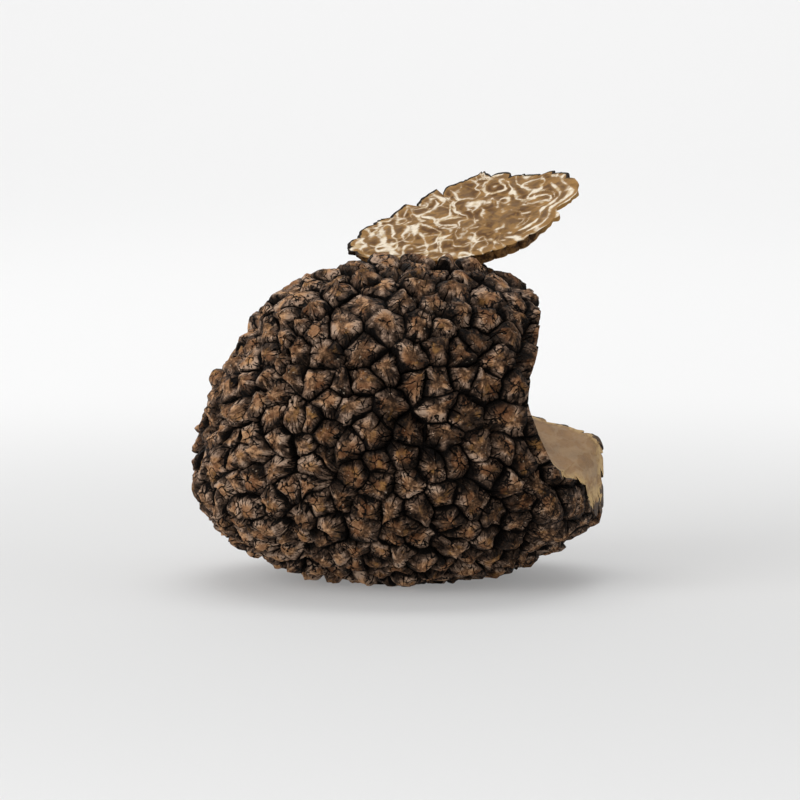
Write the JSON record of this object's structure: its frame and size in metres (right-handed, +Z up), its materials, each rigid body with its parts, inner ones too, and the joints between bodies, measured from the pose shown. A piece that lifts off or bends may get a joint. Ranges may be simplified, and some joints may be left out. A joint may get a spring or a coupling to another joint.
{
  "type": "black truffle",
  "caption": "Whole black truffle with coarse pyramid warts, its right side cut open in an L-shaped step, and a thin marbled slice lying tilted on its crown.",
  "frame": {"origin": "centre of the box round the truffle and its slice, on the plane of the flat spot that the truffle rests on", "axes": "+Z up, +X towards the side that is cut open, -Y towards the front, from where the cut side is at the right"},
  "size_m": [0.0632, 0.0532, 0.0609],
  "materials": {
    "bark": "dry, matt, dark brown to black bark of pyramid warts",
    "flesh": "satin, brown flesh with cream veins"
  },
  "bodies": {
    "root": {"truffle": "bark", "slice": "flesh"}
  },
  "joints": []
}
